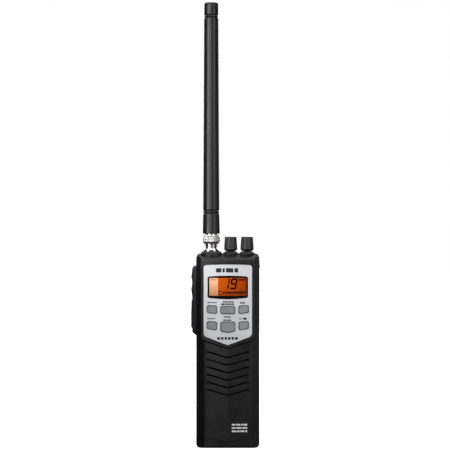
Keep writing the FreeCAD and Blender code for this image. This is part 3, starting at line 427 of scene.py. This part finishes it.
def add_plaque(bm, outline, surface, lift, depth):
    """A thin plate with the given (x, z) outline in mm; surface(x, z) gives the y it lies on."""
    rings = []
    for level, shrink in ((depth, 0.0), (lift * 0.5, 0.0), (lift, 0.03)):
        cx = sum(p[0] for p in outline) / len(outline)
        cz = sum(p[1] for p in outline) / len(outline)
        ring = []
        for x, z in outline:
            away = Vector((x - cx, z - cz))
            away = away.normalized() * min(shrink, away.length) if away.length else away
            px, pz = x - away.x, z - away.y
            ring.append(bm.verts.new((px * MM, (surface(px, pz) - level) * MM, pz * MM)))
        rings.append(ring)
    count = len(outline)
    for low, high in zip(rings, rings[1:]):
        for i in range(count):
            bm.faces.new((low[i], low[(i + 1) % count], high[(i + 1) % count], high[i]))
    bm.faces.new(rings[-1])
    bm.faces.new(list(reversed(rings[0])))


def bar(x0, x1, z0, z1, slant=0.0):
    return [(x0, z0), (x1, z0), (x1 + slant, z1), (x0 + slant, z1)]


# ---- display ------------------------------------------------------------------------
LCD_Y = -17.30               # front of the display glass, mm


def seven_segment(left, bottom, width, height, lit, slant=0.16, thick=1.45):
    """Outlines of the lit segments of one digit; lit holds letters a to g."""
    gap = 0.2
    middle = bottom + height / 2
    right, top = left + width, bottom + height
    flats = {"a": top, "g": middle + thick / 2, "d": bottom + thick}
    shapes = []
    for letter, high in flats.items():
        if letter in lit:
            low = high - thick
            shapes.append([(left + gap + thick * 0.4, low), (right - gap - thick * 0.4, low),
                           (right - gap, (low + high) / 2), (right - gap - thick * 0.4, high),
                           (left + gap + thick * 0.4, high), (left + gap, (low + high) / 2)])
    posts = {"f": (left, middle, top), "b": (right - thick, middle, top),
             "e": (left, bottom, middle), "c": (right - thick, bottom, middle)}
    for letter, (x, low, high) in posts.items():
        if letter in lit:
            shapes.append([(x, low + gap + thick * 0.4), (x + thick / 2, low + gap),
                           (x + thick, low + gap + thick * 0.4), (x + thick, high - gap - thick * 0.4),
                           (x + thick / 2, high - gap), (x, high - gap - thick * 0.4)])
    return [[(x + (z - bottom) * slant, z) for x, z in shape] for shape in shapes]


def display_segments():
    """Channel digits, signal meter and small status marks, as thin dark shapes on the glass."""
    shapes = seven_segment(-4.1, 134.6, 4.7, 9.2, "bc")
    shapes += seven_segment(1.4, 134.6, 5.7, 9.2, "abcdfg")
    for i in range(11):
        middle, half = -3.7 + i * 1.80, 0.64
        low, high = 130.4, 132.6 + 0.08 * i
        rise = (high - low) * 0.3
        inner = half * 0.4
        shapes.append([(middle - half, low + rise), (middle - inner, low), (middle + inner, low),
                       (middle + half, low + rise), (middle + half, high - rise), (middle + inner, high),
                       (middle - inner, high), (middle - half, high - rise)])
    shapes.append(bar(-3.4, 14.0, 131.3, 131.7))
    shapes += [bar(-7.9, -4.9, z, z + 0.75) for z in (129.9, 132.3)]
    shapes += [bar(9.4, 11.9, 142.0, 143.3, 0.1), bar(12.2, 15.1, 142.0, 143.3, 0.1)]
    shapes += [bar(-14.6, -12.8, 142.4, 143.0, 0.1), bar(-12.3, -10.8, 142.4, 143.0, 0.1)]
    bm = bmesh.new()
    for outline in shapes:
        add_plaque(bm, outline, lambda x, z: LCD_Y, 0.02, -0.01)
    return finish_mesh(bm, "lcd_segments")


segment_ink = plastic("lcd_segment_ink", (0.003, 0.0008, 0.0004), 0.6,
                      grain_depth=0.001, edge=0, specular=0.0)
piece("lcd_segments", display_segments(), "case", "frame_black", segment_ink.material, smooth=0)


# ---- printed marks ------------------------------------------------------------------
PLATE_Y = -20.15             # front of the face plate, mm


def row_of_dashes(x0, x1, z0, z1, widths, gap=0.35):
    """Plain dashes that fill a printed line from x0 to x1."""
    scale = (x1 - x0 - gap * (len(widths) - 1)) / sum(widths)
    x, shapes = x0, []
    for width in widths:
        shapes.append(bar(x, x + width * scale, z0, z1))
        x += width * scale + gap
    return shapes


def plate_marks():
    """Unlettered marks where the face plate has its printing."""
    shapes = row_of_dashes(-17.4, -9.6, 122.8, 123.8, (2, 1.5, 2, 1.2))
    shapes += row_of_dashes(-4.4, 4.8, 123.3, 124.5, (2, 2, 1.3, 2, 1.5))
    shapes += row_of_dashes(-5.6, 5.4, 121.3, 122.6, (3, 1.4, 2, 1.6, 2))
    shapes += row_of_dashes(10.4, 14.9, 122.4, 123.7, (2, 1.6, 1))
    shapes += row_of_dashes(-17.4, -10.8, 109.1, 110.1, (1.8, 1.4, 2, 1.4))
    shapes += row_of_dashes(-2.9, 2.4, 110.4, 111.6, (2, 1.5, 2))
    shapes += row_of_dashes(-3.9, 3.0, 107.7, 108.9, (2, 2, 1.4))
    bm = bmesh.new()
    for outline in shapes:
        add_plaque(bm, outline, lambda x, z: PLATE_Y, 0.02, -0.02)
    for mark in row_of_dashes(-10.2, 8.8, 149.1, 152.7, (3.4, 1.4, 4.6, 2.2), gap=0.9):
        add_plaque(bm, rounded_outline(mark, 0.7), lambda x, z: PLATE_Y, 0.04, -0.02)
    for mark in row_of_dashes(-9.0, 8.5, 91.6, 93.9, (2.2, 2.2, 2.0, 2.2, 2.0, 2.2), gap=0.9):
        add_plaque(bm, rounded_outline(mark, 0.5), lambda x, z: PLATE_Y, 0.03, -0.02)
    ring_and_dot(bm, 10.9, 109.6)
    return finish_mesh(bm, "plate_marks")


def ring_and_dot(bm, x, z):
    """The lamp-and-lock pair above the right key: an open ring and a small filled block."""
    outer, inner, steps = 1.15, 0.8, 20
    rings = []
    for radius in (outer, inner):
        turns = [2 * math.pi * k / steps for k in range(steps)]
        spots = [(x + radius * math.cos(a), PLATE_Y - 0.02, z + radius * math.sin(a)) for a in turns]
        rings.append([bm.verts.new([value * MM for value in spot]) for spot in spots])
    for k in range(steps):
        bm.faces.new((rings[0][k], rings[0][(k + 1) % steps], rings[1][(k + 1) % steps], rings[1][k]))
    block = rounded_outline(bar(x + 2.2, x + 5.2, z - 0.9, z + 0.8), 0.4)
    add_plaque(bm, block, lambda a, b: PLATE_Y, 0.02, -0.02)


ink = plastic("dark_ink", (0.014, 0.014, 0.016), 0.42, grain_depth=0.002, edge=0)
piece("plate_marks", plate_marks(), "case", "frame_black", ink.material, smooth=0)


RIDGE_Y, EDGE_Y, PANEL_HALF_W = -20.0, -18.8, 19.4     # the raised lower panel, mm


def panel_y(x, z):
    """Front surface of the raised lower panel, with its shallow centre ridge."""
    return RIDGE_Y + (EDGE_Y - RIDGE_Y) * min(abs(x), PANEL_HALF_W) / PANEL_HALF_W


def panel_marks():
    """Three short pale lines at the lower right of the panel."""
    bm = bmesh.new()
    for z, widths in ((18.2, (2, 2, 1, 2)), (15.4, (1.6, 2.2, 2)), (12.6, (2, 1.4, 2, 1))):
        for outline in row_of_dashes(3.4, 3.4 + 13.2, z, z + 1.5, widths, gap=0.6):
            add_plaque(bm, rounded_outline(outline, 0.4), panel_y, 0.05, -0.06)
    return finish_mesh(bm, "panel_marks")


pale_ink = plastic("pale_ink", (0.80, 0.80, 0.80), 0.5, grain_depth=0.002, edge=0)
piece("panel_marks", panel_marks(), "case", "silver_plate", pale_ink.material, smooth=0)


# ---- antenna connector --------------------------------------------------------------
def thread(r_low, r_high, z0, z1, pitch, steps=48):
    """A helical thread ridge between two heights, round the antenna axis."""
    bm = bmesh.new()
    turns = (z1 - z0) / pitch
    profile = ((r_low, -0.48), (r_high, -0.08), (r_high, 0.08), (r_low, 0.48))
    rows = []
    for i in range(int(turns * steps) + 1):
        angle = 2 * math.pi * i / steps
        z = z0 + pitch * i / steps
        row = []
        for radius, offset in profile:
            x, y = AXIS_X + radius * math.cos(angle), AXIS_Y + radius * math.sin(angle)
            row.append(bm.verts.new((x * MM, y * MM, (z + offset * pitch) * MM)))
        rows.append(row)
    for low, high in zip(rows, rows[1:]):
        for k in range(len(profile)):
            bm.faces.new((low[k], low[(k + 1) % 4], high[(k + 1) % 4], high[k]))
    bm.faces.new(rows[0])
    bm.faces.new(list(reversed(rows[-1])))
    return finish_mesh(bm, "socket_thread")


piece("socket_thread", thread(4.75, 5.45, 170.2, 173.0, 0.9), "case", "nickel", smooth=40)


# ---- springs copied onto the case ---------------------------------------------------
def pressed_spring(node):
    """The coil behind a button, copied into its own mesh on the case, with the CAD part hidden."""
    mesh = NODES[node].data.copy()
    mesh.transform(NODES[node].matrix_world)
    coil = bpy.data.objects.new(node + "_coil", mesh)
    bpy.context.scene.collection.objects.link(coil)
    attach(coil, "case")
    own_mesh(coil)
    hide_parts(node)


pressed_spring("ptt_spring")
pressed_spring("latch_spring")


# ---- light, floor and camera --------------------------------------------------------
def area_light(name, place, width, height, radiance):
    data = bpy.data.lights.new(name, "AREA")
    data.shape = "RECTANGLE"
    data.size, data.size_y = width, height
    data.energy = radiance * width * height * math.pi
    light = bpy.data.objects.new(name, data)
    light.location = place
    light.rotation_euler = (Vector(MIDDLE) - Vector(place)).to_track_quat("-Z", "Y").to_euler()
    light.visible_camera = False
    bpy.context.scene.collection.objects.link(light)


MIDDLE = (0, 0, 0.19)        # every light points here
area_light("left_box", (-0.88, -0.82, 0.30), 0.45, 1.1, 7.0)
area_light("left_low", (-0.30, -1.18, 0.40), 0.26, 0.44, 8.4)
area_light("right_low", (0.46, -1.12, 0.36), 0.20, 0.36, 2.6)
area_light("right_box", (0.88, -0.82, 0.34), 0.40, 1.1, 2.6)
area_light("side_strip", (1.15, -0.17, 0.22), 0.25, 0.40, 1.2)
area_light("front_box", (-0.30, -1.55, 0.75), 0.44, 0.40, 1.4)
area_light("rear_left_box", (-0.62, 1.28, 0.60), 0.60, 0.70, 2.2)
area_light("rear_right_box", (0.62, 1.28, 0.60), 0.60, 0.70, 2.2)


def flag(corners):
    """A black card that keeps the left light off the side of the case."""
    bm = bmesh.new()
    bm.faces.new([bm.verts.new(corner) for corner in corners])
    obj = bpy.data.objects.new("flag", finish_mesh(bm, "flag"))
    obj.visible_camera = False
    obj.data.materials.append(Shader("flag", (0.001, 0.001, 0.001), 0.9, specular=0.0).material)
    bpy.context.scene.collection.objects.link(obj)


flag([(-0.13, -0.04, 0.0), (-0.075, -0.12, 0.0), (-0.075, -0.12, 0.165), (-0.13, -0.04, 0.165)])


def floor():
    """A pale sweep that stays white to the camera except where something stands on it."""
    bm = bmesh.new()
    bmesh.ops.create_grid(bm, x_segments=1, y_segments=1, size=6.0)
    mesh = finish_mesh(bm, "floor")
    obj = bpy.data.objects.new("floor", mesh)
    obj.location.z = -0.0001
    bpy.context.scene.collection.objects.link(obj)
    paint = Shader("floor", (0.86, 0.86, 0.86), 0.8, specular=0.0)
    paint.bsdf.inputs["Emission Color"].default_value = (1, 1, 1, 1)
    seen = paint.node("ShaderNodeLightPath").outputs["Is Camera Ray"]
    paint.link(paint.remap(seen, 0.0, 1.0, 0.0, 0.72), paint.bsdf.inputs["Emission Strength"])
    paint.color(paint.mix(seen, (0.06, 0.06, 0.06), (0.86, 0.86, 0.86)))
    mesh.materials.append(paint.material)


floor()


def studio():
    """White to the camera; for the object, a bright ceiling over dark walls."""
    world = bpy.data.worlds.new("studio")
    bpy.context.scene.world = world
    world.use_nodes = True
    tree = world.node_tree
    background = tree.nodes["Background"]
    background.inputs["Color"].default_value = (1, 1, 1, 1)
    split = tree.nodes.new("ShaderNodeSeparateXYZ")
    tree.links.new(tree.nodes.new("ShaderNodeTexCoord").outputs["Generated"], split.inputs["Vector"])
    ceiling = tree.nodes.new("ShaderNodeMapRange")
    ceiling.interpolation_type = "SMOOTHSTEP"
    for key, number in (("From Min", 0.45), ("From Max", 0.95), ("To Min", 0.004), ("To Max", 1.6)):
        ceiling.inputs[key].default_value = number
    tree.links.new(split.outputs["Z"], ceiling.inputs["Value"])
    share = tree.nodes.new("ShaderNodeMix")
    tree.links.new(tree.nodes.new("ShaderNodeLightPath").outputs["Is Camera Ray"], share.inputs["Factor"])
    tree.links.new(ceiling.outputs["Result"], share.inputs["A"])
    share.inputs["B"].default_value = 1.0
    tree.links.new(share.outputs["Result"], background.inputs["Strength"])


studio()

DISTANCE = 1.4               # camera to the face plate
FRAME = 0.3843               # width of the view at the face plate
camera_data = bpy.data.cameras.new("camera")
camera_data.sensor_width = 36.0
camera_data.lens = 36.0 * DISTANCE / FRAME
camera_data.clip_start = 0.05
camera = bpy.data.objects.new("camera", camera_data)
camera.location = (-0.0024, -DISTANCE - 0.0202, 0.1896 + LIFT * MM)
camera.rotation_euler = (math.pi / 2, 0, 0)
bpy.context.scene.collection.objects.link(camera)
bpy.context.scene.camera = camera
bpy.context.scene.view_settings.view_transform = "Standard"
